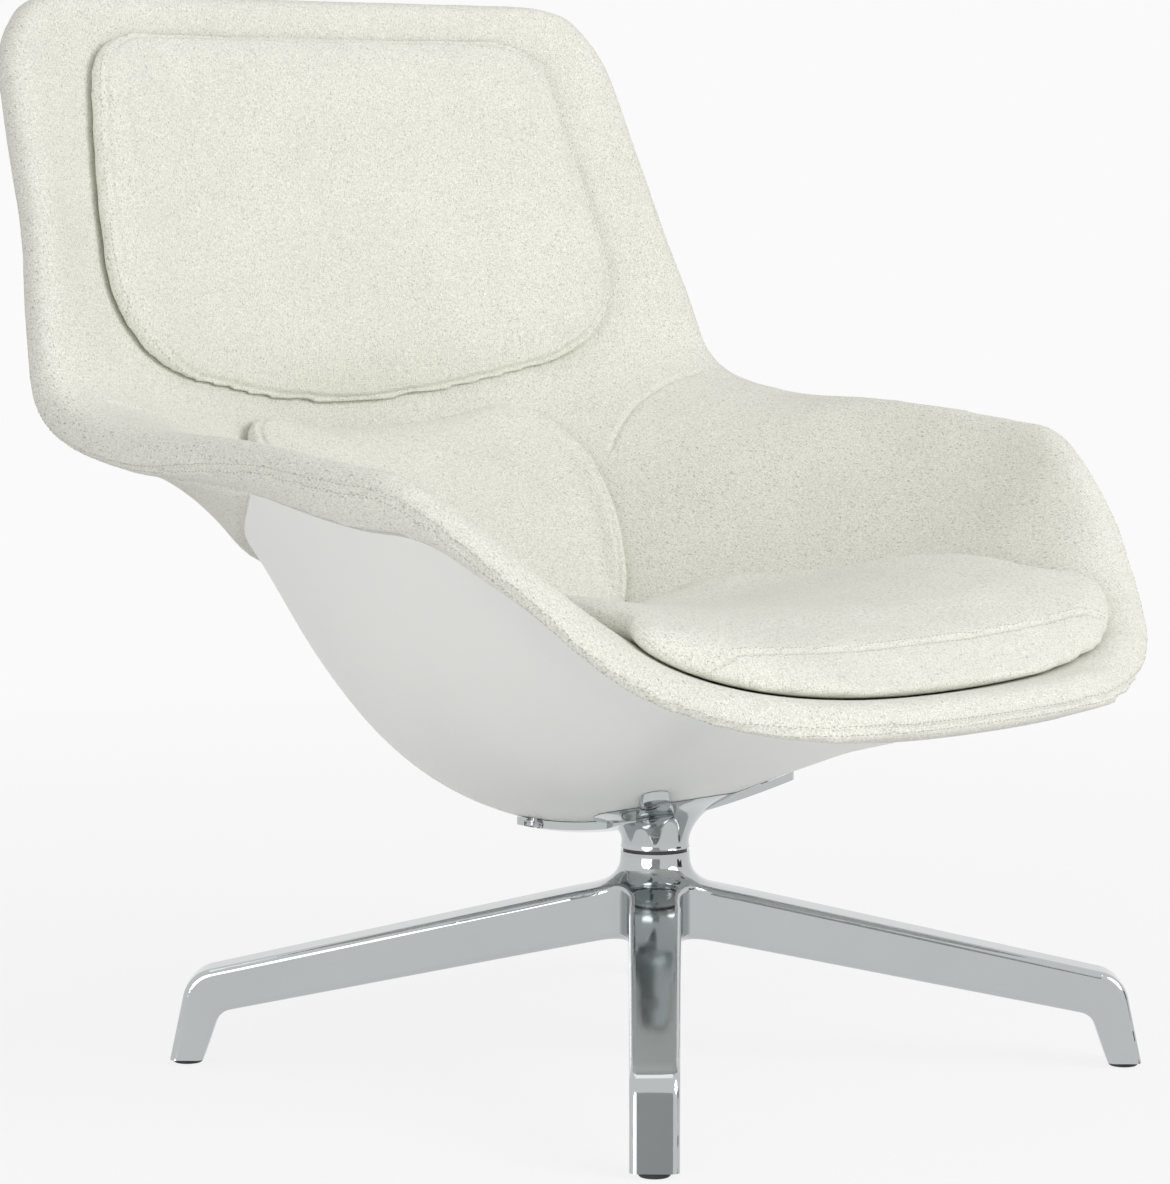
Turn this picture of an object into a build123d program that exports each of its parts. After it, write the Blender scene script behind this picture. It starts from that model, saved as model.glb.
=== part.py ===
"""Swivel lounge chair: upholstered bucket shell, three loose cushions, cast four-leg base.

Millimetres.  +Z is up, the floor is Z = 0, the sitter faces -Y and has +X on the left hand.
The chair is drawn about its swivel axis, and moved at the end so that the origin
lies on the floor under the middle of the whole chair.
"""
import os
from math import atan2, cos, degrees, radians, sin, sqrt

from build123d import *

# Overall driving sizes
shell_half_width = 345.0
shell_reach = 592.0
underside_height = 199.0
fan_axis_y = -30.0

# Layers of the shell wall, measured from the middle of the padded wall
rim_radius = 16.0
rim_swell = 4.0
rim_depth = 18.0
lip_depth = 36.0
pocket_floor = 1.0
frame_thickness = 4.2
outer_thickness = 4.0
cover_proud = 2.0
layer_gap = 0.9
edge_gap = 1.5
seat_gap = 1.3
arm_gap = 0.5
seam_gap = 0.6

# Cushions
seat_fill = 1.0
seat_edge = 14.0
seat_dish = 24.0
lumbar_fill = 1.0
lumbar_edge = 18.0
back_pad_thickness = 24.0
back_pad_half_width = 270.0

# Swivel column and bearing
column_height = 33.0
neck_radius = 26.0
spindle_radius = 12.0
bush_wall = 5.0
bush_length = 18.0
thrust_thickness = 2.4
washer_thickness = 1.5
circlip_thickness = 1.6
running_gap = 0.3
press_gap = 0.05

# Screwed joint between the column arms and the shell
arm_thickness = 6.0
arm_reach = 104.0
arm_width = 34.0
screw_radius = 3.0
screw_head_radius = 5.5
screw_head_height = 2.2
screw_length = 24.0
screw_washer_radius = 7.0
screw_washer_thickness = 1.0
insert_radius = 4.6
insert_length = 14.0
boss_radius = 10.0
screw_reach = 78.0
hole_gap = 0.4

# Four-leg base
foot_reach = 366.0
leg_root_depth = 42.0
leg_foot_depth = 25.0
leg_root_width = 40.0
leg_foot_width = 34.0
leg_edge_radius = 5.0
hub_flare = 66.0
web_radius = 24.0
neck_height = 3.0
glide_radius = 11.0
glide_height = 4.0
glide_stem_radius = 4.0
glide_stem_length = 12.0

# Cuts through the shell, front lip to top edge.  The cuts fan out from a line
# parallel to X.  Columns: fan angle, reach of the wall, rise of the wall to
# the rim and half width (all as shares), roundness of the hollow, flare.
shell_cuts = [
    (-29.5, 0.982, 0.010, 0.420, 2.30, 0.0),
    (-27.5, 0.969, 0.038, 0.610, 2.30, 0.0),
    (-24.5, 0.957, 0.100, 0.772, 2.30, 0.0),
    (-20.5, 0.949, 0.222, 0.890, 2.30, 0.0),
    (-13.0, 0.943, 0.330, 0.976, 2.20, 0.0),
    (-4.0, 0.953, 0.370, 1.000, 2.00, 0.0),
    (10.0, 1.000, 0.424, 0.994, 1.75, 0.4),
    (22.0, 1.020, 0.414, 0.983, 1.60, 1.0),
    (34.0, 0.973, 0.298, 0.977, 1.50, 1.3),
    (46.0, 0.889, 0.149, 0.968, 1.60, 1.1),
    (54.0, 0.841, 0.131, 0.948, 1.90, 0.4),
    (65.0, 0.792, 0.111, 0.913, 2.20, 0.0),
    (77.0, 0.760, 0.074, 0.887, 2.20, 0.0),
    (84.5, 0.753, 0.049, 0.861, 2.20, 0.0),
    (88.6, 0.752, 0.035, 0.794, 2.20, 0.0),
]
# Depth of the hollow keel under the seat: fan angle, depth
keel_cuts = [(-30.0, 0.0), (-14.0, 1.0), (-6.0, 11.0), (0.0, 22.0), (10.0, 34.0), (22.0, 24.0),
             (34.0, 7.0), (46.0, 3.0), (60.0, 0.0)]
# Seat cushion: fan angle, half width, thickness at the middle
seat_cuts = [(-29.0, 130.0, 9.0), (-28.3, 168.0, 27.0), (-27.0, 210.0, 43.0), (-25.0, 246.0, 55.0),
             (-21.0, 262.0, 67.0), (-14.0, 254.0, 81.0), (-6.0, 236.0, 90.0), (3.0, 208.0, 96.0),
             (11.0, 172.0, 97.0), (16.0, 145.0, 88.0), (18.8, 124.0, 70.0)]
# Lumbar cushion: fan angle, half width, thickness at the middle
lumbar_cuts = [(19.1, 118.0, 54.0), (21.5, 141.0, 72.0), (25.0, 158.0, 82.0), (30.0, 172.0, 84.0),
               (36.0, 180.0, 74.0), (41.0, 177.0, 56.0), (44.5, 162.0, 40.0), (46.6, 136.0, 22.0)]
# Back cushion: fan angle, share of its half width, share of its thickness
back_cuts = [(49.2, 0.74, 0.45), (50.4, 0.86, 0.80), (52.5, 0.94, 1.0), (57.0, 1.0, 1.12),
             (65.0, 0.99, 1.18), (73.0, 0.955, 1.16), (80.0, 0.92, 1.08), (83.6, 0.885, 0.98),
             (85.6, 0.82, 0.78), (86.6, 0.73, 0.45)]

# Points of a curve across the chair, as shares of its half width, and where they lie along the curve
across = (-1.0, -0.88, -0.72, -0.54, -0.36, -0.18, 0.0, 0.18, 0.36, 0.54, 0.72, 0.88, 1.0)
along_curve = [(share + 1) / 2 for share in across]


def along(table, column, angle):
    """Smooth value of one column of a table of cuts at a fan angle."""
    angle = min(max(angle, table[0][0]), table[-1][0])
    last = len(table) - 2
    row = 0
    while row < last and angle > table[row + 1][0]:
        row = row + 1

    def slope(index):
        before = table[max(index - 1, 0)]
        after = table[min(index + 1, last + 1)]
        return (after[column] - before[column]) / (after[0] - before[0])

    start = table[row]
    end = table[row + 1]
    span = end[0] - start[0]
    t = (angle - start[0]) / span
    rise = t * t * (3 - 2 * t)
    lead = t * (1 - t) * (1 - t) * span
    trail = t * t * (t - 1) * span
    value = start[column] + (end[column] - start[column]) * rise
    return value + slope(row) * lead + slope(row + 1) * trail


def wall(angle, share, offset):
    """Point of the shell wall in its fan cut; offset grows towards the underside."""
    reach = along(shell_cuts, 1, angle) * shell_reach
    rise = along(shell_cuts, 2, angle) * shell_reach
    width = along(shell_cuts, 3, angle) * shell_half_width
    power = along(shell_cuts, 4, angle)
    flare = along(shell_cuts, 5, angle)
    s = abs(share)
    side = 1.0 if share >= 0 else -1.0
    depth = reach - rise * (s ** power + flare * s * s * (1 - s))
    lean = rise * (power * s ** (power - 1) + flare * (2 * s - 3 * s * s)) / width
    length = sqrt(1 + lean * lean)
    return (side * (s * width + offset * lean / length), depth + offset / length)


def half_width(angle):
    """Half width of the shell wall at the rim."""
    return along(shell_cuts, 3, angle) * shell_half_width


def rim(angle):
    """Radius of the padded rim, fuller where the arms run into the back."""
    near = max(0.0, 1 - ((angle - 40.0) / 22.0) ** 2)
    return rim_radius + rim_swell * near


# Layers stacked outwards from the floor of the pocket in the padding
frame_top = pocket_floor + layer_gap
frame_bottom = frame_top + frame_thickness
outer_face = frame_bottom + layer_gap + outer_thickness


def keel(angle, share):
    """Offset of the outer face of the hard shell from the middle of the wall."""
    depth = along(keel_cuts, 1, angle)
    s = share * share
    return outer_face + depth * (1 + 6 * s) * (1 - s) ** 2.5


# Height of the fan axis, so the underside of the shell lies at its set height
fan_axis_z = underside_height + wall(0.0, 0.0, keel(0.0, 0.0))[1]


def fan(angle):
    """Plane of one cut: local x across the chair, local y away from the fan axis."""
    a = radians(angle)
    return Plane(origin=(0, fan_axis_y, fan_axis_z), x_dir=(1, 0, 0), z_dir=(0, cos(a), sin(a)))


def spread(start, end, step):
    """Evenly spaced fan angles from start to end."""
    count = max(2, round((end - start) / step))
    return [start + (end - start) * i / count for i in range(count + 1)]


def curve(points):
    """Smooth line through points that lie at the same shares of every cut."""
    return Edge.make_spline([Vector(x, y) for x, y in points], parameters=along_curve)


def arc(start, middle, end):
    """Round line through three points."""
    return Edge.make_three_point_arc(Vector(*start), Vector(*middle), Vector(*end))


def line(start, end):
    """Straight line between two points."""
    return Edge.make_line(Vector(*start), Vector(*end))


def placed(angle, edges):
    """Closed outline, filled and put in its fan plane."""
    return fan(angle) * Face(Wire(edges))


def padded_cut(angle, radius, floor, narrow=1.0):
    """Cut of the padded wall: half-round edges, and a pocket in the underside down to an offset."""
    inner = [wall(angle, s * narrow, -radius) for s in across]
    reach = narrow - rim_depth / half_width(angle)
    pocket = [wall(angle, -s * reach, floor) for s in across]
    ends = []
    for side in (1.0, -1.0):
        middle = wall(angle, side * narrow, 0.0)
        foot = wall(angle, side * narrow, 1.0)
        out = (foot[0] - middle[0], foot[1] - middle[1])
        tip = (side * out[1], -side * out[0])
        ends.append([
            (middle[0] + radius * (a * out[0] + b * tip[0]), middle[1] + radius * (a * out[1] + b * tip[1]))
            for a, b in ((-1, 0), (-0.7071, 0.7071), (0, 1), (0.7071, 0.7071), (1, 0))
        ])
        ends[-1].append(wall(angle, side * reach, radius))
    right = ends[0]
    left = ends[1][::-1]
    return placed(angle, [
        curve(inner),
        arc(right[0], right[1], right[2]),
        arc(right[2], right[3], right[4]),
        line(right[4], right[5]),
        line(right[5], pocket[0]),
        curve(pocket),
        line(pocket[-1], left[0]),
        line(left[0], left[1]),
        arc(left[1], left[2], left[3]),
        arc(left[3], left[4], left[5]),
    ])


def band_cut(angle, edge, upper, lower):
    """Cut of a layer between two offsets, ending at a set distance inside the rim line."""
    reach = 1 - edge / half_width(angle)
    shares = [s * reach for s in across]
    top = [wall(angle, s, upper(angle, s)) for s in shares]
    bottom = [wall(angle, -s, lower(angle, -s)) for s in shares]
    return placed(angle, [
        curve(top),
        line(top[-1], bottom[0]),
        curve(bottom),
        line(bottom[-1], top[0]),
    ])


def band(start, end, edge, upper, lower, ruled=False, step=2.4):
    """Solid layer of the shell between two offsets from the wall."""
    cuts = [band_cut(angle, edge, upper, lower) for angle in spread(start, end, step)]
    return loft(cuts, ruled=ruled)


def level(offset):
    """A layer face at one constant offset."""
    return lambda angle, share: offset


def cushion_cut(angle, width, thickness, edge, draw):
    """Cut of a cushion that lies on the padded wall, crowned, with drawn-in sides."""
    base = -rim(angle) - layer_gap
    limit = width / half_width(angle)
    foot = (width - draw * 0.6) / half_width(angle)
    lip = (width - draw) / half_width(angle)
    under = [wall(angle, s * foot, base) for s in across]
    brow = wall(angle, lip, base - edge)
    nose = wall(angle, limit, base - edge * 0.45)
    middle = wall(angle, 0.0, base - thickness)
    return crowned(angle, under, nose, brow, middle)


def seat_cut(angle, width, thickness, edge, draw):
    """Cut of the seat cushion: nearly level on top, ending where the wall comes up to it."""
    base = -rim(angle) - seat_gap
    middle = wall(angle, 0.0, base - thickness)
    level_out = middle[1] - seat_dish * thickness / 90.0
    low = 0.05
    high = 0.95
    for _ in range(30):
        share = (low + high) / 2
        if wall(angle, share, base)[1] > level_out + edge:
            low = share
        else:
            high = share
    reach = wall(angle, low, base)[0]
    width = min(width, reach)
    foot = low * (width - draw * 0.6) / reach
    under = [wall(angle, s * foot, base) for s in across]
    brow = (width - draw * 1.5, level_out)
    nose = (width - draw * 0.25, level_out + edge * 0.4)
    return crowned(angle, under, nose, brow, middle)


def crowned(angle, under, nose, brow, middle):
    """Closed cut from the underside, the drawn-in sides and a crowned top."""
    over = []
    for s in across[::-1]:
        blend = abs(s) ** 2.2
        over.append((brow[0] * s, middle[1] + (brow[1] - middle[1]) * blend))
    return placed(angle, [
        curve(under),
        arc(under[-1], nose, brow),
        curve(over),
        arc((-brow[0], brow[1]), (-nose[0], nose[1]), under[0]),
    ])


def wall_frame(angle, across_mm):
    """Plane on the outer face of the hard shell, its normal pointing into the shell."""
    def place(a, x):
        share = x / half_width(a)
        local = wall(a, share, keel(a, share))
        return fan(a).from_local_coords(Vector(local[0], local[1], 0))

    here = place(angle, across_mm)
    over = place(angle, across_mm + 2) - place(angle, across_mm - 2)
    back = place(angle + 0.3, across_mm) - place(angle - 0.3, across_mm)
    return Plane(origin=here, x_dir=over, z_dir=over.cross(back))


# Padded shell: rounded rim all round, and a pocket in the underside for the hard shell
front_end = shell_cuts[0][0]
top_end = shell_cuts[-1][0]
front_round = degrees(rim_radius / (shell_reach * shell_cuts[0][1]))
top_round = degrees(rim_radius / (shell_reach * shell_cuts[-1][1]))
pocket_front = front_end + degrees(lip_depth / shell_reach)
pocket_top = top_end - degrees(rim_depth / (shell_reach * shell_cuts[-1][1]))
pocket_slope = 0.25
shallow = 0.3
front_rounding = ((0.4, 0.917, 0.90), (0.68, 0.733, 0.79), (0.88, 0.475, 0.67), (0.98, 0.2, 0.51))
top_rounding = ((0.4, 0.917, 0.97), (0.68, 0.733, 0.93), (0.88, 0.475, 0.88), (0.98, 0.2, 0.80))
padded_cuts = []
for out, thick, narrow in front_rounding[::-1]:
    radius = rim_radius * thick
    padded_cuts.append(padded_cut(front_end - front_round * out, radius, radius - shallow, narrow))
for angle in spread(front_end, pocket_front, 0.9):
    padded_cuts.append(padded_cut(angle, rim(angle), rim(angle) - shallow))
lip_zone = pocket_front + 14.0
lip_angles = spread(pocket_front + pocket_slope, lip_zone, 1.2)
for angle in lip_angles[:-1] + spread(lip_zone, pocket_top - pocket_slope, 2.4):
    padded_cuts.append(padded_cut(angle, rim(angle), pocket_floor))
for angle in spread(pocket_top, top_end, 1.2):
    padded_cuts.append(padded_cut(angle, rim(angle), rim(angle) - shallow))
for out, thick, narrow in top_rounding:
    radius = rim_radius * thick
    padded_cuts.append(padded_cut(top_end + top_round * out, radius, radius - shallow, narrow))
upholstery = loft(padded_cuts, ruled=True)

# Seam between the arms and the back, a plane that leans with the back
seam_point = fan(48.5).from_local_coords(Vector(0, wall(48.5, 1.0, 0.0)[1], 0))
seam_plane = Plane(origin=seam_point, x_dir=(1, 0, 0), z_dir=(0, 0.916, 0.401))
bucket_upholstery = split(upholstery, bisect_by=seam_plane.offset(-seam_gap / 2), keep=Keep.BOTTOM)
back_upholstery = split(upholstery, bisect_by=seam_plane.offset(seam_gap / 2), keep=Keep.TOP)

# Hard layers behind the padding
inset = rim_depth + edge_gap
angle_gap = pocket_slope + degrees(edge_gap / shell_reach) * 1.2
frame_shell = band(pocket_front + angle_gap, pocket_top - angle_gap, inset,
                   level(frame_top), level(frame_bottom), ruled=True, step=1.2)


def hull(extra):
    """A layer face that follows the outer face of the hard shell."""
    return lambda angle, share: keel(angle, share) + extra


# The hard outer shell ends at the rear on a sloping line; above it the back is covered in fabric
rear_line = Plane(origin=(0, 86, fan_axis_z - 360), x_dir=(1, 0, 0), z_dir=(0, 0.371, 0.928))
outer_shell = split(band(pocket_front + angle_gap, 56.0, inset, hull(-outer_thickness), hull(0.0),
                         ruled=True, step=1.2),
                    bisect_by=rear_line.offset(-seam_gap / 2), keep=Keep.BOTTOM)


def cover_face(angle, share):
    """Outer face of the rear cover, a little proud of the hard shell."""
    return keel(angle, share) + rim(angle) - rim_radius + cover_proud


back_cover = split(band(8.0, pocket_top - angle_gap, inset, level(frame_bottom + layer_gap), cover_face,
                        ruled=True),
                   bisect_by=rear_line.offset(seam_gap / 2), keep=Keep.TOP)

# Loose cushions


def cushion(table, width, thickness, edge, draw, cut=cushion_cut):
    """Cushion from its table of cuts; width and thickness multiply the table's columns."""
    cuts = []
    for angle in spread(table[0][0], table[-1][0], 1.2):
        deep = along(table, 2, angle) * thickness
        cuts.append(cut(angle, along(table, 1, angle) * width, deep, min(edge, deep * 0.8), draw))
    return loft(cuts, ruled=True)


seat_cushion = cushion(seat_cuts, 1.0, seat_fill, seat_edge, 14.0, seat_cut)
lumbar_cushion = cushion(lumbar_cuts, 1.0, lumbar_fill, lumbar_edge, 13.0)
back_cushion = cushion(back_cuts, back_pad_half_width, back_pad_thickness, back_pad_thickness * 0.8, 5.0)

# Heights of the swivel
swivel_z = underside_height - column_height
hub_top = swivel_z - thrust_thickness - running_gap
bush_radius = spindle_radius + running_gap + bush_wall
leg_top = hub_top - 16.0
leg_bottom = leg_top - leg_root_depth
retainer_z = leg_bottom + 12.5
retainer_radius = bush_radius + 4.0
spindle_top = swivel_z + 15.0
spindle_bottom = retainer_z - washer_thickness - circlip_thickness - 4.0


def rod(radius, bottom, top):
    """Plain round bar about the swivel axis."""
    return Pos(0, 0, bottom) * Cylinder(radius, top - bottom, align=(Align.CENTER, Align.CENTER, Align.MIN))


def ring(outer, inner, bottom, height):
    """Plain ring about the swivel axis."""
    return rod(outer, bottom, bottom + height) - rod(inner, bottom - 1, bottom + height + 1)


# Screws between column arms and frame shell
screw_side = screw_reach / sqrt(2)
screw_planes = []
for y in (-screw_side, screw_side):
    angle = degrees(atan2(y - fan_axis_y, fan_axis_z - underside_height))
    for x in (-screw_side, screw_side):
        screw_planes.append(wall_frame(angle, x))


def pin(plane, radius, start, end):
    """Round bar along the screw line, from start to end inwards from the hard shell."""
    bar = Cylinder(radius, end - start, align=(Align.CENTER, Align.CENTER, Align.MIN))
    return plane * Pos(0, 0, start) * bar


seat_depth = -arm_gap - 2.0
washer_low = seat_depth - press_gap - screw_washer_thickness
head_high = washer_low - press_gap
insert_low = outer_thickness + layer_gap + 1.0
insert_high = insert_low + insert_length
screws = []
washers = []
inserts = []
for plane in screw_planes:
    shank = pin(plane, screw_radius, head_high - 1.0, head_high + screw_length)
    head = pin(plane, screw_head_radius, head_high - screw_head_height, head_high)
    socket = plane * Pos(0, 0, head_high - screw_head_height) * extrude(RegularPolygon(2.9, 6), 2.0)
    screws.append(shank + head - socket)
    washers.append(pin(plane, screw_washer_radius, washer_low, washer_low + screw_washer_thickness)
                   - pin(plane, screw_radius + hole_gap, washer_low - 1, 0.0))
    inserts.append(pin(plane, insert_radius, insert_low, insert_high)
                   - pin(plane, screw_radius + press_gap, insert_low - 1, insert_high + 1))
    outer_shell = outer_shell - pin(plane, screw_radius + hole_gap, -10.0, outer_thickness + 6.0)

# Bosses on the frame shell that carry the inserts
middle_zone = shell_half_width - 120.0
boss_zone = band(-14.0, 24.0, middle_zone, level(frame_bottom - 2.0), hull(-outer_thickness - layer_gap))
for plane in screw_planes:
    boss = pin(plane, boss_radius, -5.0, 80.0) & boss_zone
    frame_shell = frame_shell + boss
for plane in screw_planes:
    frame_shell = frame_shell - pin(plane, insert_radius + press_gap, -5.0, insert_high + 2.0)

# Column: trumpet, arms along the underside, socket for the spindle
trumpet_steps = [(0.0, 1.0, 0.0), (0.30, 1.02, 0.0), (0.50, 1.19, 5.0), (0.65, 1.46, 9.5),
                 (0.79, 1.92, 12.0), (0.92, 2.46, 13.5), (1.15, 2.9, 13.5)]
trumpet_cuts = []
for up, wide, tilt in trumpet_steps:
    level_plane = Plane.XY.offset(swivel_z + up * column_height)
    trumpet_cuts.append(level_plane * Rot(-tilt, 0, 0) * Circle(neck_radius * wide))
trumpet = loft(trumpet_cuts)
arm_tip = arm_width * 0.3
arm_outline = Circle(neck_radius * 1.5)
for turn in (45, 135, 225, 315):
    strip = Polygon((0, -arm_width / 2), (arm_reach - arm_tip, -arm_tip), (arm_reach - arm_tip, arm_tip),
                    (0, arm_width / 2), align=None)
    arm_outline = arm_outline + Rot(0, 0, turn) * (strip + Pos(arm_reach - arm_tip, 0) * Circle(arm_tip))
arm_zone = band(-15.0, 24.0, middle_zone, hull(-12.0), hull(arm_gap + arm_thickness))
arms = arm_zone & (Pos(0, 0, swivel_z - 40) * extrude(arm_outline, 160))
hull_block = band(-15.0, 24.0, middle_zone, level(-40.0), hull(arm_gap))
column = trumpet + arms - hull_block
column = column - rod(spindle_radius + press_gap, swivel_z - 1, spindle_top + 0.5)
for plane in screw_planes:
    column = column - pin(plane, screw_radius + hole_gap, -20.0, 5.0)
    column = column - pin(plane, screw_washer_radius + hole_gap, -20.0, seat_depth)

# Spindle with a groove for the circlip, bushes, washer, circlip
groove_z = retainer_z - washer_thickness - running_gap - circlip_thickness
spindle = rod(spindle_radius, spindle_bottom, spindle_top)
spindle = spindle - ring(spindle_radius + 2, spindle_radius - 1.5, groove_z, circlip_thickness)
circlip = ring(spindle_radius + 3.0, spindle_radius - 1.5 + press_gap, groove_z + press_gap,
               circlip_thickness - 2 * press_gap)
circlip = circlip - Pos(spindle_radius, 0, groove_z) * Box(14, 7, 8)
retaining_washer = ring(retainer_radius - running_gap, spindle_radius + running_gap,
                        retainer_z - running_gap - washer_thickness, washer_thickness)
lower_bush = ring(bush_radius, spindle_radius + running_gap, retainer_z + 0.5, bush_length)
upper_bush = ring(bush_radius, spindle_radius + running_gap, hub_top - bush_length - 0.5, bush_length)
thrust_washer = ring(neck_radius - 2.0, spindle_radius + running_gap, hub_top + press_gap,
                     thrust_thickness - press_gap)

# Base casting: one turned profile of hub and leg, cut to a four-armed plan
knee_slope = 0.22
knee = (foot_reach - 14.0, leg_top - knee_slope * (foot_reach - 14.0))
inner_knee = (foot_reach - leg_foot_depth - 13.0, knee[1] - 29.0)
shoulder = (hub_flare, leg_top - knee_slope * hub_flare)
neck = (neck_radius, hub_top - neck_height)
with BuildSketch(Plane.XZ) as leg_side:
    with BuildLine():
        Polyline(neck, (neck_radius, hub_top), (0, hub_top), (0, leg_bottom), inner_knee,
                 (foot_reach - leg_foot_depth, glide_height), (foot_reach, glide_height), knee, shoulder)
        Spline(shoulder, neck, tangents=((-1, knee_slope), (0, 1)))
    make_face()
    fillet(leg_side.vertices().sort_by_distance(knee)[0], 26.0)
    fillet(leg_side.vertices().sort_by_distance(inner_knee)[0], 14.0)
leg_plan = Polygon((0, -leg_root_width / 2), (foot_reach + 5, -leg_foot_width / 2),
                   (foot_reach + 5, leg_foot_width / 2), (0, leg_root_width / 2), align=None)
star = leg_plan
for turn in (90, 180, 270):
    star = star + Rot(0, 0, turn) * leg_plan
star = fillet([v for v in star.vertices() if Vector(v).length < leg_root_width], web_radius)
base_casting = revolve(leg_side.sketch, Axis.Z) & extrude(Rot(0, 0, 45) * star, hub_top + 1)


def from_axis(point):
    """Distance of a point from the swivel axis."""
    return sqrt(point.X * point.X + point.Y * point.Y)


long_edges = []
for edge in base_casting.edges():
    start = edge @ 0.0
    middle = edge @ 0.5
    end = edge @ 1.0
    along_leg = abs(from_axis(middle) - from_axis(start)) > 0.5 or abs(start.Z - end.Z) > 5.0
    if along_leg and middle.Z > glide_height + 1 and from_axis(middle) > neck_radius + 3:
        long_edges.append(edge)
base_casting = fillet(long_edges, leg_edge_radius)
base_casting = base_casting - rod(retainer_radius, leg_bottom - 1, retainer_z)
base_casting = base_casting - rod(bush_radius + press_gap, leg_bottom - 1, hub_top + 1)

# Cap under the hub and glides under the feet
cap_radius = retainer_radius - press_gap
hub_cap = ring(cap_radius, cap_radius - 2.0, leg_bottom, 5.0) + rod(cap_radius, leg_bottom, leg_bottom + 2.0)
glide_reach = foot_reach - leg_foot_depth / 2
foot_disc = rod(glide_radius, 0, glide_height - press_gap)
foot_disc = chamfer(foot_disc.edges().group_by(Axis.Z)[0], 0.8)
stem = rod(glide_stem_radius, 0, glide_height + glide_stem_length)
stem_hole = rod(glide_stem_radius + press_gap, 0, glide_height + glide_stem_length + 1)
glide = foot_disc + stem
glide_names = {225: "glide_front_right", 315: "glide_front_left", 45: "glide_rear_left", 135: "glide_rear_right"}
glides = {}
for turn, name in glide_names.items():
    place = Rot(0, 0, turn) * Pos(glide_reach, 0, 0)
    glides[name] = place * glide
    base_casting = base_casting - place * stem_hole

parts = {
    "base_casting": base_casting,
    "upper_bush": upper_bush,
    "lower_bush": lower_bush,
    "thrust_washer": thrust_washer,
    "hub_cap": hub_cap,
    "spindle": spindle,
    "retaining_washer": retaining_washer,
    "circlip": circlip,
    "seat_column": column,
    "column_screws": Compound(children=screws),
    "column_washers": Compound(children=washers),
    "shell_inserts": Compound(children=inserts),
    "outer_shell": outer_shell,
    "frame_shell": frame_shell,
    "bucket_upholstery": bucket_upholstery,
    "back_upholstery": back_upholstery,
    "back_cover": back_cover,
    "seat_cushion": seat_cushion,
    "lumbar_cushion": lumbar_cushion,
    "back_cushion": back_cushion,
}
parts.update(glides)

# The frame's origin lies on the floor under the middle of the whole chair
front_y = bucket_upholstery.bounding_box().min.Y
rear_y = back_upholstery.bounding_box().max.Y
to_origin = Pos(0, -(front_y + rear_y) / 2, 0)
print("swivel axis at Y =", round(-(front_y + rear_y) / 2, 3))

os.makedirs("parts", exist_ok=True)
for name, shape in parts.items():
    export_step(to_origin * shape, f"parts/{name}.step")
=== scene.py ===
"""Looks of the swivel lounge chair: padded wool covers, stitching, moulded shell and polished base.

Metres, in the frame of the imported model: +Z is up, the floor is Z = 0, the sitter faces -Y.
"""
from math import cos, pi, radians, sin, sqrt

import bmesh
import bpy
import numpy as np
from bpy.props import FloatProperty, FloatVectorProperty, IntProperty, PointerProperty
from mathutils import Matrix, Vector
from mathutils.bvhtree import BVHTree
from mathutils.kdtree import KDTree


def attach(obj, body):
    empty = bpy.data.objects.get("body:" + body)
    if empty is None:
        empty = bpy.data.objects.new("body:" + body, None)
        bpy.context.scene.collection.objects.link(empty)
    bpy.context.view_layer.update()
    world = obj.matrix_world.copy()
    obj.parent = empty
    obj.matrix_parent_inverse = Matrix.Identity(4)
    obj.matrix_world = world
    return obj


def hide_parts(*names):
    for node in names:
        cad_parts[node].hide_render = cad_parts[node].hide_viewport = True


bl_info = {
    "name": "Swivel lounge chair",
    "version": (1, 0, 0),
    "blender": (4, 5, 0),
    "location": "View3D > Sidebar > Chair",
    "description": "Dresses the swivel lounge chair in padded wool, moulded plastic and polished metal",
    "category": "Object",
}

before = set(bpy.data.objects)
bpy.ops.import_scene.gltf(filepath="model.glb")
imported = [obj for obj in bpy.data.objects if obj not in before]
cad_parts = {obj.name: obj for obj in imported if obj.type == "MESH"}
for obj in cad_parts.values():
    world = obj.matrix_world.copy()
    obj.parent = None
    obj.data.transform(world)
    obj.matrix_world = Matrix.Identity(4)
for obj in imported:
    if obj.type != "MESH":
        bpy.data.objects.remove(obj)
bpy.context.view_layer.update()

# Shell line, as in the part
SHELL_HALF_WIDTH = 0.345
SHELL_REACH = 0.592
SWIVEL_Y = -0.0493
FAN_AXIS_Y = SWIVEL_Y - 0.030
# Underside of the shell below the fan axis: its height, and its distance from the wall's middle line
UNDERSIDE_HEIGHT = 0.199
UNDERSIDE_OFFSET = 0.033
# Padded rim: its radius, how much thicker it gets, the fan angle where it is thickest, and the angle either
# side of that over which it thins
RIM_RADIUS = 0.016
RIM_SWELL = 0.004
RIM_SWELL_ANGLE = 40.0
RIM_SWELL_REACH = 22.0
# Gap between a cushion and the padding
LAYER_GAP = 0.0009
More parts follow.
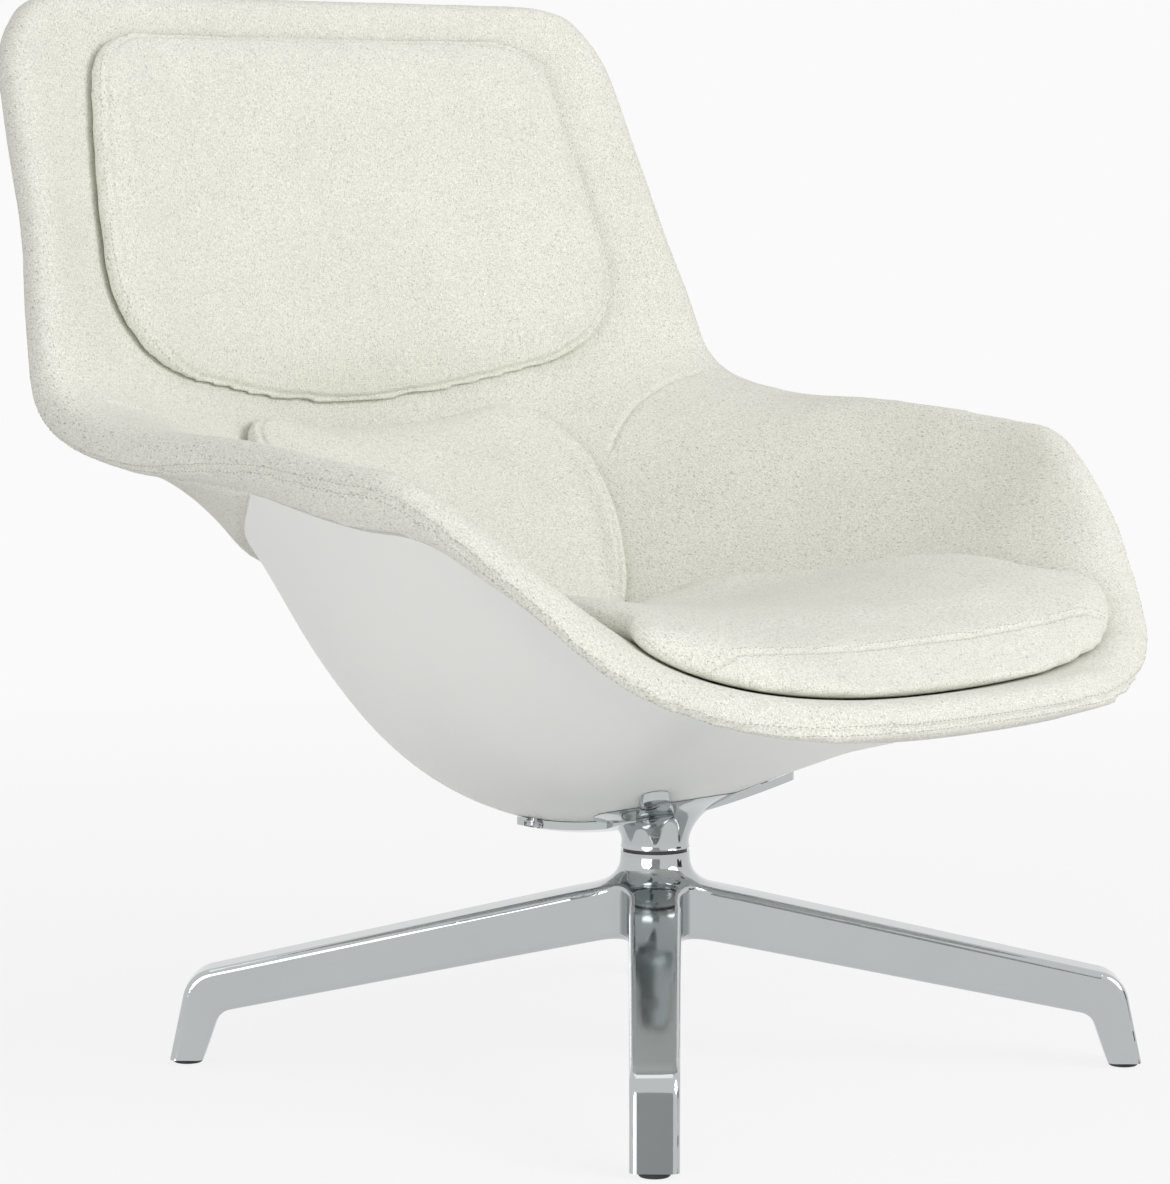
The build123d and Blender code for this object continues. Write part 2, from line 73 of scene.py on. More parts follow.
# Cuts of the shell: fan angle, then reach, rise and half width as shares, then roundness and flare
SHELL_CUTS = [
    (-29.5, 0.982, 0.010, 0.420, 2.30, 0.0),
    (-27.5, 0.969, 0.038, 0.610, 2.30, 0.0),
    (-24.5, 0.957, 0.100, 0.772, 2.30, 0.0),
    (-20.5, 0.949, 0.222, 0.890, 2.30, 0.0),
    (-13.0, 0.943, 0.330, 0.976, 2.20, 0.0),
    (-4.0, 0.953, 0.370, 1.000, 2.00, 0.0),
    (10.0, 1.000, 0.424, 0.994, 1.75, 0.4),
    (22.0, 1.020, 0.414, 0.983, 1.60, 1.0),
    (34.0, 0.973, 0.298, 0.977, 1.50, 1.3),
    (46.0, 0.889, 0.149, 0.968, 1.60, 1.1),
    (54.0, 0.841, 0.131, 0.948, 1.90, 0.4),
    (65.0, 0.792, 0.111, 0.913, 2.20, 0.0),
    (77.0, 0.760, 0.074, 0.887, 2.20, 0.0),
    (84.5, 0.753, 0.049, 0.861, 2.20, 0.0),
    (88.6, 0.752, 0.035, 0.794, 2.20, 0.0),
]
# Plane where the bucket's padding meets the back's
SEAM_ANGLE = 48.5
SEAM_NORMAL = Vector((0.0, 0.916, 0.401))
# Lumbar and back cushions: fan angle, half width, edge height
LUMBAR_CUTS = [(19.1, 0.118, 0.018), (21.5, 0.141, 0.018), (25.0, 0.158, 0.018), (30.0, 0.172, 0.018),
               (36.0, 0.180, 0.018), (41.0, 0.177, 0.018), (44.5, 0.162, 0.018), (46.6, 0.136, 0.018)]
BACK_CUTS = [(49.2, 0.200, 0.010), (50.4, 0.232, 0.016), (52.5, 0.254, 0.019), (57.0, 0.270, 0.019),
             (65.0, 0.267, 0.019), (73.0, 0.258, 0.019), (80.0, 0.248, 0.019), (83.6, 0.239, 0.019),
             (85.6, 0.221, 0.016), (86.6, 0.197, 0.010)]

# Dart between the arm and the back on the sitter's left, from the rim down to the lumbar cushion
DART_POINTS = [(0.311, SWIVEL_Y + 0.259, 0.502), (0.276, SWIVEL_Y + 0.262, 0.495),
               (0.232, SWIVEL_Y + 0.258, 0.477), (0.198, SWIVEL_Y + 0.246, 0.454),
               (0.188, SWIVEL_Y + 0.240, 0.445)]

# Seams: spacing of the points along them
LINE_STEP = 0.003
# Front seam of the seat cushion: its place, and the height it is dropped from
SEAT_SEAM_Y = SWIVEL_Y - 0.262
SEAT_SEAM_HALF_WIDTH = 0.24
ABOVE_SEAT = 0.6
# Seam round the lumbar and back cushions: how far inside their sides it runs
CUSHION_EDGE_INSET = 0.004
# Rim seam: the fan angles it runs between, the angle it lies below the rim's outermost line, where it
# crosses the front lip, and its depth, width and row distance as shares of the other seams'
RIM_SEAM_BACK = 50.0
RIM_SEAM_FRONT = -28.0
RIM_SEAM_DOWN = 52.0
LIP_SEAM_ANGLE = -30.7
LIP_SEAM_SHARE = 0.8
LIP_SEAM_OFFSET = 0.011
RIM_SEAM_DEPTH_SHARE = 0.7
RIM_SEAM_REACH_SHARE = 0.8
RIM_ROW_SHARE = 0.7

# Sewn joint of the padding: how near its plane a point counts as on it, and how far each side is lapped over
JOINT_REACH = 0.0004
JOINT_LAP = 0.0015

# Distance at which points of the solids' meshes are taken as one
WELD_DISTANCE = 0.00002
# Face size of the cushions and of the rear cover, as shares of the padding's
CUSHION_MESH_SHARE = 0.9
COVER_MESH_SHARE = 0.7

# Filling of the cushions: air pressure, and how near the padding a cover is held fast
FILL_PRESSURE = 4.0
HELD_DISTANCE = 0.006

# Camera: place, turn and dip in degrees, lens and sensor in millimetres
CAMERA_PLACE = (-2.219, SWIVEL_Y - 2.219, 0.687)
CAMERA_TURN = 44.037
CAMERA_DIP = 5.984
CAMERA_LENS = 128.319932
CAMERA_SENSOR = 36.0

# Colours of what is hidden inside or under the chair
FRAME_COLOUR = (0.08, 0.08, 0.085)
STEEL_COLOUR = (0.45, 0.45, 0.46)
BRASS_COLOUR = (0.70, 0.52, 0.22)
BEARING_COLOUR = (0.05, 0.05, 0.05)

# Floor: half width, tone, roughness of floor and cards, distances from the middle over which the shadow
# fades, and the share of plain colour under the chair
FLOOR_REACH = 30.0
FLOOR_TONE = 0.82
MATT = 0.9
SHADOW_FADE = (0.5, 2.2)
SHADOW_PLAIN_SHARE = 0.88
# Sky: heights between which it brightens, and its brightness below and above them
SKY_SPAN = (-0.1, 0.8)
SKY_LOW = 0.42
SKY_HIGH = 0.50
# Grey cards: name, place, point they face, width, height, tone
CARDS = (
    ("camera_card", (-3.3, -3.3, 1.0), (0, 0, 0.3), 2.6, 2.4, 0.75),
    ("side_card", (2.6, -2.9, 0.5), (0, 0, 0.2), 1.3, 1.0, 0.06),
)
# Lamps: name, place, point they aim at, diameter, watts
LAMPS = (
    ("key_lamp", (0.9, -3.0, 1.9), (0, 0, 0.4), 2.2, 62.0),
    ("fill_lamp", (-2.9, -1.0, 0.4), (0, 0, 0.35), 2.0, 30.0),
    ("top_lamp", (-0.3, 0.2, 3.2), (0, 0, 0.3), 2.6, 10.0),
)


class ChairFinish(bpy.types.PropertyGroup):
    """Colours of the chair's finishes."""

    cloth: FloatVectorProperty(
        name="Wool cloth", description="Main colour of the wool cloth", subtype="COLOR",
        size=3, min=0, max=1, default=(0.830, 0.828, 0.752))
    fleck: FloatVectorProperty(
        name="Fleck", description="Colour of the dark fibres in the cloth", subtype="COLOR",
        size=3, min=0, max=1, default=(0.30, 0.30, 0.27))
    thread: FloatVectorProperty(
        name="Thread", description="Colour of the topstitching", subtype="COLOR",
        size=3, min=0, max=1, default=(0.50, 0.49, 0.43))
    shell: FloatVectorProperty(
        name="Moulded shell", description="Colour of the moulded outer shell", subtype="COLOR",
        size=3, min=0, max=1, default=(0.850, 0.855, 0.825))
    metal: FloatVectorProperty(
        name="Polished metal", description="Colour of the polished base and column", subtype="COLOR",
        size=3, min=0, max=1, default=(0.50, 0.525, 0.53))
    glide: FloatVectorProperty(
        name="Glides", description="Colour of the floor glides", subtype="COLOR",
        size=3, min=0, max=1, default=(0.022, 0.022, 0.024))
    floor: FloatVectorProperty(
        name="Floor", description="Colour of the studio floor and background", subtype="COLOR",
        size=3, min=0, max=1, default=(0.956, 0.956, 0.956))


class ChairSewing(bpy.types.PropertyGroup):
    """Sizes of the padding and the stitching."""

    mesh_size: FloatProperty(
        name="Padding mesh", description="Face size of the padded covers", default=0.005, unit="LENGTH")
    swell: FloatProperty(
        name="Cushion swell", description="Furthest the filling may push a cushion's cover",
        default=0.004, unit="LENGTH")
    filling_steps: IntProperty(
        name="Filling steps", description="Steps of the simulation that fills a cushion", default=20)
    cover_press: FloatProperty(
        name="Cover press", description="How far the rear cover presses on the padding round it",
        default=0.0024, unit="LENGTH")
    seam_depth: FloatProperty(
        name="Seam depth", description="How far a seam is drawn into the padding",
        default=0.0022, unit="LENGTH")
    seam_reach: FloatProperty(
        name="Seam reach", description="Half the width of the dip along a seam",
        default=0.0042, unit="LENGTH")
    stitch_pitch: FloatProperty(
        name="Stitch pitch", description="Distance from stitch to stitch", default=0.0042, unit="LENGTH")
    stitch_length: FloatProperty(
        name="Stitch length", description="Visible length of one stitch", default=0.0029, unit="LENGTH")
    thread_thickness: FloatProperty(
        name="Thread thickness", description="Thickness of the sewing thread",
        default=0.0008, unit="LENGTH")
    row_distance: FloatProperty(
        name="Row distance", description="Distance of a stitch row from its seam",
        default=0.0045, unit="LENGTH")


def finish_of(context):
    return context.scene.chair_finish


def sewing_of(context):
    return context.scene.chair_sewing


# Shell line


def along(table, column, angle):
    """Smooth value of one column of a table of cuts at a fan angle."""
    angle = min(max(angle, table[0][0]), table[-1][0])
    last = len(table) - 2
    row = 0
    while row < last and angle > table[row + 1][0]:
        row = row + 1

    def slope(index):
        before = table[max(index - 1, 0)]
        after = table[min(index + 1, last + 1)]
        return (after[column] - before[column]) / (after[0] - before[0])

    start = table[row]
    end = table[row + 1]
    span = end[0] - start[0]
    t = (angle - start[0]) / span
    value = start[column] + (end[column] - start[column]) * t * t * (3 - 2 * t)
    return value + slope(row) * t * (1 - t) ** 2 * span + slope(row + 1) * t * t * (t - 1) * span


FAN_AXIS_Z = UNDERSIDE_HEIGHT + UNDERSIDE_OFFSET + along(SHELL_CUTS, 1, 0.0) * SHELL_REACH


def wall(angle, share, offset):
    """Point of the shell wall in its fan cut; offset grows towards the underside."""
    reach = along(SHELL_CUTS, 1, angle) * SHELL_REACH
    rise = along(SHELL_CUTS, 2, angle) * SHELL_REACH
    width = along(SHELL_CUTS, 3, angle) * SHELL_HALF_WIDTH
    power = along(SHELL_CUTS, 4, angle)
    flare = along(SHELL_CUTS, 5, angle)
    s = abs(share)
    side = 1.0 if share >= 0 else -1.0
    depth = reach - rise * (s ** power + flare * s * s * (1 - s))
    lean = rise * (power * s ** (power - 1) + flare * (2 * s - 3 * s * s)) / width
    length = sqrt(1 + lean * lean)
    return side * (s * width + offset * lean / length), depth + offset / length


def rim(angle):
    """Radius of the padded rim."""
    return RIM_RADIUS + RIM_SWELL * max(0.0, 1 - ((angle - RIM_SWELL_ANGLE) / RIM_SWELL_REACH) ** 2)


def in_chair(angle, local):
    """A fan cut's local point in the chair's frame."""
    a = radians(angle)
    return Vector((local[0], FAN_AXIS_Y + local[1] * sin(a), FAN_AXIS_Z - local[1] * cos(a)))


def steps(start, end, count):
    """Evenly spaced numbers, both ends included."""
    return [start + (end - start) * i / count for i in range(count + 1)]


def rim_point(angle, side, down):
    """Point on the rounded rim, turned down from its outermost line by an angle."""
    step = 0.001
    middle = wall(angle, side, 0.0)
    foot = wall(angle, side, step)
    out = ((foot[0] - middle[0]) / step, (foot[1] - middle[1]) / step)
    tip = (side * out[1], -side * out[0])
    a = sin(radians(down)) * rim(angle)
    b = cos(radians(down)) * rim(angle)
    return in_chair(angle, (middle[0] + a * out[0] + b * tip[0], middle[1] + a * out[1] + b * tip[1]))


def rim_line(start, end, side, down, count):
    """Line along one side of the rim."""
    return [rim_point(angle, side, down) for angle in steps(start, end, count)]


def cushion_line(table):
    """Closed line round the top edge of a cushion."""
    first = table[0][0]
    last = table[-1][0]

    def edge(angle, side):
        width = along(table, 1, angle)
        half = along(SHELL_CUTS, 3, angle) * SHELL_HALF_WIDTH
        share = side * (width - CUSHION_EDGE_INSET) / half
        return in_chair(angle, wall(angle, share, -rim(angle) - LAYER_GAP - along(table, 2, angle)))

    angles = steps(first, last, 60)
    line = [edge(angle, 1.0) for angle in angles]
    for share in steps(1.0, -1.0, 30)[1:-1]:
        line.append(edge(last, share))
    line = line + [edge(angle, -1.0) for angle in angles[::-1]]
    for share in steps(-1.0, 1.0, 30)[1:-1]:
        line.append(edge(first, share))
    return line


# Mesh work


def add_object(name, mesh):
    obj = bpy.data.objects.new(name, mesh)
    bpy.context.scene.collection.objects.link(obj)
    return obj


def plain_mesh(obj):
    """Turns what the object's modifiers make into its own mesh, and takes the modifiers off."""
    graph = bpy.context.evaluated_depsgraph_get()
    made = bpy.data.meshes.new_from_object(obj.evaluated_get(graph), depsgraph=graph)
    obj.modifiers.clear()
    obj.data = made


def points_of(mesh):
    co = np.zeros(len(mesh.vertices) * 3)
    mesh.vertices.foreach_get("co", co)
    return co.reshape(-1, 3)


def set_points(mesh, co):
    mesh.vertices.foreach_set("co", co.ravel())
    mesh.update()


def relax(mesh, rounds):
    """Evens out a mesh: every round moves each point half way to the middle of its neighbours."""
    pairs = np.zeros(len(mesh.edges) * 2, int)
    mesh.edges.foreach_get("vertices", pairs)
    a = pairs[0::2]
    b = pairs[1::2]
    co = points_of(mesh)
    count = len(co)
    degree = np.maximum(np.bincount(a, minlength=count) + np.bincount(b, minlength=count), 1)
    for _ in range(rounds):
        mean = np.stack([
            np.bincount(a, co[b, i], count) + np.bincount(b, co[a, i], count) for i in range(3)
        ], axis=1) / degree[:, None]
        co = co + (mean - co) * 0.5
    set_points(mesh, co)


def smooth(mesh):
    for polygon in mesh.polygons:
        polygon.use_smooth = True


def plate(name, half_width, half_height):
    """A flat mesh with four corners, about its middle."""
    a = half_width
    b = half_height
    mesh = bpy.data.meshes.new(name)
    mesh.from_pydata([(-a, -b, 0), (a, -b, 0), (a, b, 0), (-a, b, 0)], [], [(0, 1, 2, 3)])
    return mesh


def push_out(mesh, distance):
    """Moves a cover outwards all round, so that it presses on the pieces beside it."""
    normal = np.zeros(len(mesh.vertices) * 3)
    mesh.vertex_normals.foreach_get("vector", normal)
    set_points(mesh, points_of(mesh) + normal.reshape(-1, 3) * distance)


def padded_copy(nodes, name, mesh_size, rounds):
    """An evenly meshed, softened copy of one padded solid, or of two that are sewn together."""
    bm = bmesh.new()
    for node_name in nodes:
        bm.from_mesh(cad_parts[node_name].data)
    bmesh.ops.remove_doubles(bm, verts=bm.verts, dist=WELD_DISTANCE)
    if len(nodes) > 1:
        close_joint(bm)
    mesh = bpy.data.meshes.new(name)
    bm.to_mesh(mesh)
    bm.free()
    obj = add_object(name, mesh)
    remesh = obj.modifiers.new("even mesh", "REMESH")
    remesh.mode = "VOXEL"
    remesh.voxel_size = mesh_size
    plain_mesh(obj)
    relax(obj.data, rounds)
    return obj


def close_joint(bm):
    """Lets the bucket's and the back's padding run into each other where they meet."""
    middle = in_chair(SEAM_ANGLE, (0.0, wall(SEAM_ANGLE, 1.0, 0.0)[1]))
    for v in bm.verts:
        height = (v.co - middle).dot(SEAM_NORMAL)
        if abs(height) < JOINT_REACH:
            v.co = v.co - SEAM_NORMAL * (JOINT_LAP if height > 0 else -JOINT_LAP)


def fill(obj, held, cap, count):
    """Fills a cushion by air pressure in a cloth simulation; held points stay where they are."""
    start = points_of(obj.data)
    group = obj.vertex_groups.new(name="held")
    group.add([int(i) for i in np.nonzero(held)[0]], 1.0, "REPLACE")
    cloth = obj.modifiers.new("filling", "CLOTH")
    cloth.settings.use_pressure = True
    cloth.settings.uniform_pressure_force = FILL_PRESSURE
    cloth.settings.vertex_group_mass = "held"
    cloth.settings.effector_weights.gravity = 0.0
    cloth.collision_settings.use_self_collision = False
    cloth.collision_settings.use_collision = False
    cloth.point_cache.frame_start = 1
    cloth.point_cache.frame_end = count
    scene = bpy.context.scene
    for number in range(1, count + 1):
        scene.frame_set(number)
    graph = bpy.context.evaluated_depsgraph_get()
    end = points_of(obj.evaluated_get(graph).data)
    obj.modifiers.clear()
    obj.vertex_groups.clear()
    scene.frame_set(1)
    move = end - start
    length = np.maximum(np.linalg.norm(move, axis=1), 1e-9)
    set_points(obj.data, start + move * (cap * np.tanh(length / cap) / length)[:, None])


def tree_of(obj):
    bm = bmesh.new()
    bm.from_mesh(obj.data)
    tree = BVHTree.FromBMesh(bm)
    bm.free()
    return tree


def even_line(points, spacing, closed):
    """Points at an even spacing along a line."""
    line = np.array([list(p) for p in points])
    if closed:
        line = np.vstack([line, line[:1]])
    lengths = np.concatenate([[0.0], np.cumsum(np.linalg.norm(np.diff(line, axis=0), axis=1))])
    count = max(4, int(lengths[-1] / spacing))
    places = np.linspace(0, lengths[-1], count + 1)
    if closed:
        places = places[:-1]
    return np.stack([np.interp(places, lengths, line[:, i]) for i in range(3)], axis=1)


def soften_line(line, closed, rounds):
    """Takes the corners off a line, keeping the ends of an open one."""
    for _ in range(rounds):
        mean = (np.roll(line, 1, axis=0) + np.roll(line, -1, axis=0)) / 2
        if not closed:
            mean[0] = line[0]
            mean[-1] = line[-1]
        line = line + (mean - line) * 0.5
    return line


def laid_on(tree, line, closed, sideways=0.0):
    """A line laid on a surface: its points and the way the surface faces there."""
    ahead = np.roll(line, -1, axis=0)
    behind = np.roll(line, 1, axis=0)
    if not closed:
        ahead[-1] = line[-1]
        behind[0] = line[0]
    places = []
    facing = []
    for point, way in zip(line, ahead - behind):
        spot, normal, _, _ = tree.find_nearest(Vector(point))
        if sideways:
            shifted = spot + Vector(way).normalized().cross(normal) * sideways
            spot, normal, _, _ = tree.find_nearest(shifted)
        places.append(list(spot))
        facing.append(list(normal))
    return np.array(places), np.array(facing)


def draw_seam(obj, lines, depth, reach, cuts):
    """Draws seams into a padded mesh, with finer faces along them."""
    count = sum(len(line) for line in lines)
    near = KDTree(count)
    for number, point in enumerate(np.vstack(lines)):
        near.insert(Vector(point), number)
    near.balance()
    bm = bmesh.new()
    bm.from_mesh(obj.data)
    close = {v for v in bm.verts if near.find(v.co)[2] < reach * 2.0}
    edges = [e for e in bm.edges if e.verts[0] in close and e.verts[1] in close]
    bmesh.ops.subdivide_edges(bm, edges=edges, cuts=cuts, use_grid_fill=True)
    bm.normal_update()
    moves = []
    for v in bm.verts:
        distance = near.find(v.co)[2]
        if distance < reach:
            moves.append((v, v.normal * depth * (1 - (distance / reach) ** 2) ** 2))
    for v, move in moves:
        v.co = v.co - move
    bm.to_mesh(obj.data)
    bm.free()


def cloth_map(mesh):
    """A map in metres from the side each face looks to, for the weave."""
    mesh.uv_layers.new(name="weave")
    loops = len(mesh.loops)
    corner = np.zeros(loops, int)
    mesh.loops.foreach_get("vertex_index", corner)
    normal = np.zeros(len(mesh.polygons) * 3)
    mesh.polygons.foreach_get("normal", normal)
    total = np.zeros(len(mesh.polygons), int)
    mesh.polygons.foreach_get("loop_total", total)
    side = np.repeat(np.argmax(np.abs(normal.reshape(-1, 3)), axis=1), total)
    co = points_of(mesh)[corner]
    u = np.where(side == 0, co[:, 1], co[:, 0])
    v = np.where(side == 2, co[:, 1], co[:, 2])
    mesh.uv_layers["weave"].data.foreach_set("uv", np.stack([u, v], axis=1).ravel())


def dress(obj, material, slot, *nodes):
    """Gives a finished soft piece its cloth and ties it to the chair."""
    obj.data.materials.clear()
    obj.data.materials.append(material)
    cloth_map(obj.data)
    smooth(obj.data)
    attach(obj, "seat")
    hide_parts(*nodes)


# Node groups and materials


def node(tree, kind, place, **settings):
    made = tree.nodes.new(kind)
    made.location = place
    for name, value in settings.items():
        setattr(made, name, value)
    return made


def group_of(name, inputs, outputs):
    """An empty shader group with its named sockets."""
    tree = bpy.data.node_groups.new(name, "ShaderNodeTree")
    for label, kind, value in inputs:
        socket = tree.interface.new_socket(label, in_out="INPUT", socket_type=kind)
        socket.default_value = value
    for label, kind in outputs:
        tree.interface.new_socket(label, in_out="OUTPUT", socket_type=kind)
    return tree, node(tree, "NodeGroupInput", (-1200, 0)), node(tree, "NodeGroupOutput", (1000, 0))


def math(tree, operation, a, b, place):
    """A math node; a and b are sockets or numbers."""
    made = node(tree, "ShaderNodeMath", place, operation=operation)
    for index, value in enumerate((a, b)):
        if isinstance(value, (int, float)):
            made.inputs[index].default_value = value
        else:
            tree.links.new(value, made.inputs[index])
    return made.outputs[0]


def noise(tree, vector, scale, detail, place):
    made = node(tree, "ShaderNodeTexNoise", place)
    tree.links.new(vector, made.inputs["Vector"])
    made.inputs["Scale"].default_value = scale
    made.inputs["Detail"].default_value = detail
    return made.outputs["Fac"]


def remap(tree, value, low, high, to_low, to_high, place):
    made = node(tree, "ShaderNodeMapRange", place)
    tree.links.new(value, made.inputs["Value"])
    for name, number in zip(("From Min", "From Max", "To Min", "To Max"), (low, high, to_low, to_high)):
        made.inputs[name].default_value = number
    return made.outputs["Result"]


def mixed(tree, factor, a, b, place, blend="MIX"):
    made = node(tree, "ShaderNodeMix", place, data_type="RGBA", blend_type=blend)
    for value, socket in ((factor, made.inputs[0]), (a, made.inputs[6]), (b, made.inputs[7])):
        if isinstance(value, (int, float, tuple)):
            socket.default_value = value
        else:
            tree.links.new(value, socket)
    return made.outputs[2]


def grey_of(tree, value, place):
    """The colour whose three channels are one value."""
    made = node(tree, "ShaderNodeCombineColor", place)
    for index in range(3):
        tree.links.new(value, made.inputs[index])
    return made.outputs[0]


def wool_group():
    """Heathered wool: twilled yarn, light and dark fibres, slow change of tone."""
    tree, given, out = group_of(
        "wool_cloth",
        [("Cloth", "NodeSocketColor", (0.8, 0.8, 0.8, 1)),
         ("Fleck", "NodeSocketColor", (0.3, 0.3, 0.3, 1)),
         ("Yarn Pitch", "NodeSocketFloat", 0.0017), ("Fleck Share", "NodeSocketFloat", 0.5)],
        [("Colour", "NodeSocketColor"), ("Roughness", "NodeSocketFloat"), ("Height", "NodeSocketFloat")])
    spot = node(tree, "ShaderNodeTexCoord", (-1200, -300)).outputs["Object"]
    weave_map = node(tree, "ShaderNodeUVMap", (-1200, -600), uv_map="weave").outputs["UV"]
    wander = node(tree, "ShaderNodeTexNoise", (-1000, -750))
    tree.links.new(spot, wander.inputs["Vector"])
    wander.inputs["Scale"].default_value = 160.0
    drift = node(tree, "ShaderNodeVectorMath", (-800, -700), operation="MULTIPLY_ADD")
    tree.links.new(wander.outputs["Color"], drift.inputs[0])
    drift.inputs[1].default_value = (0.0016, 0.0016, 0.0)
    tree.links.new(weave_map, drift.inputs[2])
    split = node(tree, "ShaderNodeSeparateXYZ", (-620, -700))
    tree.links.new(drift.outputs[0], split.inputs[0])
    turn = math(tree, "DIVIDE", pi, given.outputs["Yarn Pitch"], (-620, -500))
    warp = math(tree, "ADD", split.outputs[0], split.outputs[1], (-440, -600))
    weft = math(tree, "SUBTRACT", split.outputs[0], split.outputs[1], (-440, -760))
    warp = math(tree, "SINE", math(tree, "MULTIPLY", warp, turn, (-280, -600)), 0.0, (-120, -600))
    weft = math(tree, "SINE", math(tree, "MULTIPLY", weft, turn, (-280, -760)), 0.0, (-120, -760))
    yarn = math(tree, "MULTIPLY", warp, weft, (40, -680))
    fibre = noise(tree, spot, 1500.0, 2.0, (-900, 100))
    heather = noise(tree, spot, 700.0, 3.0, (-900, -100))
    cloud = noise(tree, spot, 16.0, 2.0, (-900, 300))
    stretch = node(tree, "ShaderNodeMapping", (-1100, 520))
    stretch.inputs["Rotation"].default_value = (0.4, 0.3, 0.7)
    stretch.inputs["Scale"].default_value = (1.0, 0.35, 0.6)
    tree.links.new(spot, stretch.inputs["Vector"])
    strand = noise(tree, stretch.outputs[0], 900.0, 1.0, (-900, 520))
    tone = remap(tree, heather, 0.30, 0.70, 0.80, 1.13, (-600, -100))
    tone = math(tree, "MULTIPLY", tone, remap(tree, cloud, 0.3, 0.7, 0.975, 1.02, (-600, 300)), (-400, 100))
    tone = math(tree, "MULTIPLY", tone, remap(tree, yarn, -1.0, 1.0, 0.955, 1.03, (200, -680)), (-200, 100))
    grey = grey_of(tree, tone, (0, 100))
    toned = mixed(tree, 1.0, given.outputs["Cloth"], grey, (200, 150), "MULTIPLY")
    dark = remap(tree, strand, 0.62, 0.72, 0.0, 1.0, (-600, 520))
    fine = remap(tree, fibre, 0.60, 0.74, 0.0, 0.55, (-600, 700))
    dark = math(tree, "MAXIMUM", dark, fine, (-400, 600))
    dark = math(tree, "MULTIPLY", dark, given.outputs["Fleck Share"], (-200, 600))
    tree.links.new(mixed(tree, dark, toned, given.outputs["Fleck"], (450, 200)), out.inputs["Colour"])
    tree.links.new(remap(tree, heather, 0.3, 0.7, 0.86, 0.98, (450, -100)), out.inputs["Roughness"])
    lift = math(tree, "MULTIPLY", yarn, 0.5, (450, -400))
    tree.links.new(math(tree, "ADD", lift, fibre, (620, -400)), out.inputs["Height"])
    return tree


def handling_group():
    """Traces of making and use on hard surfaces: slow mottling, fine grain, rubbed streaks."""
    tree, given, out = group_of(
        "handling_marks",
        [("Colour", "NodeSocketColor", (0.8, 0.8, 0.8, 1)), ("Mottle Scale", "NodeSocketFloat", 12.0),
         ("Grain Scale", "NodeSocketFloat", 900.0), ("Mottle", "NodeSocketFloat", 0.03),
         ("Gloss Low", "NodeSocketFloat", 0.3), ("Gloss High", "NodeSocketFloat", 0.4)],
        [("Colour", "NodeSocketColor"), ("Roughness", "NodeSocketFloat"), ("Height", "NodeSocketFloat")])
    spot = node(tree, "ShaderNodeTexCoord", (-1200, -300)).outputs["Object"]

    def scaled_noise(scale, detail, place):
        made = node(tree, "ShaderNodeTexNoise", place)
        tree.links.new(spot, made.inputs["Vector"])
        tree.links.new(given.outputs[scale], made.inputs["Scale"])
        made.inputs["Detail"].default_value = detail
        return made.outputs["Fac"]

    slow = scaled_noise("Mottle Scale", 4.0, (-900, 200))
    grain = scaled_noise("Grain Scale", 3.0, (-900, -100))
    streak_map = node(tree, "ShaderNodeMapping", (-1050, -500))
    streak_map.inputs["Scale"].default_value = (30.0, 420.0, 90.0)
    tree.links.new(spot, streak_map.inputs["Vector"])
    streak = noise(tree, streak_map.outputs[0], 1.0, 2.0, (-850, -500))
    swing = math(tree, "SUBTRACT", slow, 0.5, (-650, 200))
    swing = math(tree, "MULTIPLY", swing, given.outputs["Mottle"], (-480, 200))
    tone = math(tree, "ADD", math(tree, "MULTIPLY", swing, 2.0, (-320, 200)), 1.0, (-160, 200))
    grey = grey_of(tree, tone, (0, 200))
    toned = mixed(tree, 1.0, given.outputs["Colour"], grey, (200, 250), "MULTIPLY")
    tree.links.new(toned, out.inputs["Colour"])
    worn = math(tree, "ADD", math(tree, "MULTIPLY", slow, 0.6, (-480, -100)),
                math(tree, "MULTIPLY", streak, 0.4, (-480, -400)), (-300, -200))
    gloss = node(tree, "ShaderNodeMapRange", (0, -200))
    tree.links.new(worn, gloss.inputs["Value"])
    gloss.inputs["From Min"].default_value = 0.3
    gloss.inputs["From Max"].default_value = 0.7
    tree.links.new(given.outputs["Gloss Low"], gloss.inputs["To Min"])
    tree.links.new(given.outputs["Gloss High"], gloss.inputs["To Max"])
    tree.links.new(gloss.outputs["Result"], out.inputs["Roughness"])
    tree.links.new(math(tree, "ADD", grain, math(tree, "MULTIPLY", slow, 0.3, (0, -450)), (200, -450)),
                   out.inputs["Height"])
    return tree


def shared_group(name, maker):
    found = bpy.data.node_groups.get(name)
    return found if found is not None else maker()


def material_with(name, maker, group_name, values, bump_strength, bump_distance):
    """A material whose colour, roughness and bump come from a shared group."""
    made = bpy.data.materials.new(name)
    made.use_nodes = True
    tree = made.node_tree
    shader = tree.nodes["Principled BSDF"]
    source = node(tree, "ShaderNodeGroup", (-500, 200), node_tree=shared_group(group_name, maker))
    for label, value in values.items():
        source.inputs[label].default_value = value
    bump = node(tree, "ShaderNodeBump", (-220, -200))
    bump.inputs["Strength"].default_value = bump_strength
    bump.inputs["Distance"].default_value = bump_distance
    tree.links.new(source.outputs["Colour"], shader.inputs["Base Color"])
    tree.links.new(source.outputs["Roughness"], shader.inputs["Roughness"])
    tree.links.new(source.outputs["Height"], bump.inputs["Height"])
    tree.links.new(bump.outputs["Normal"], shader.inputs["Normal"])
    return made, shader


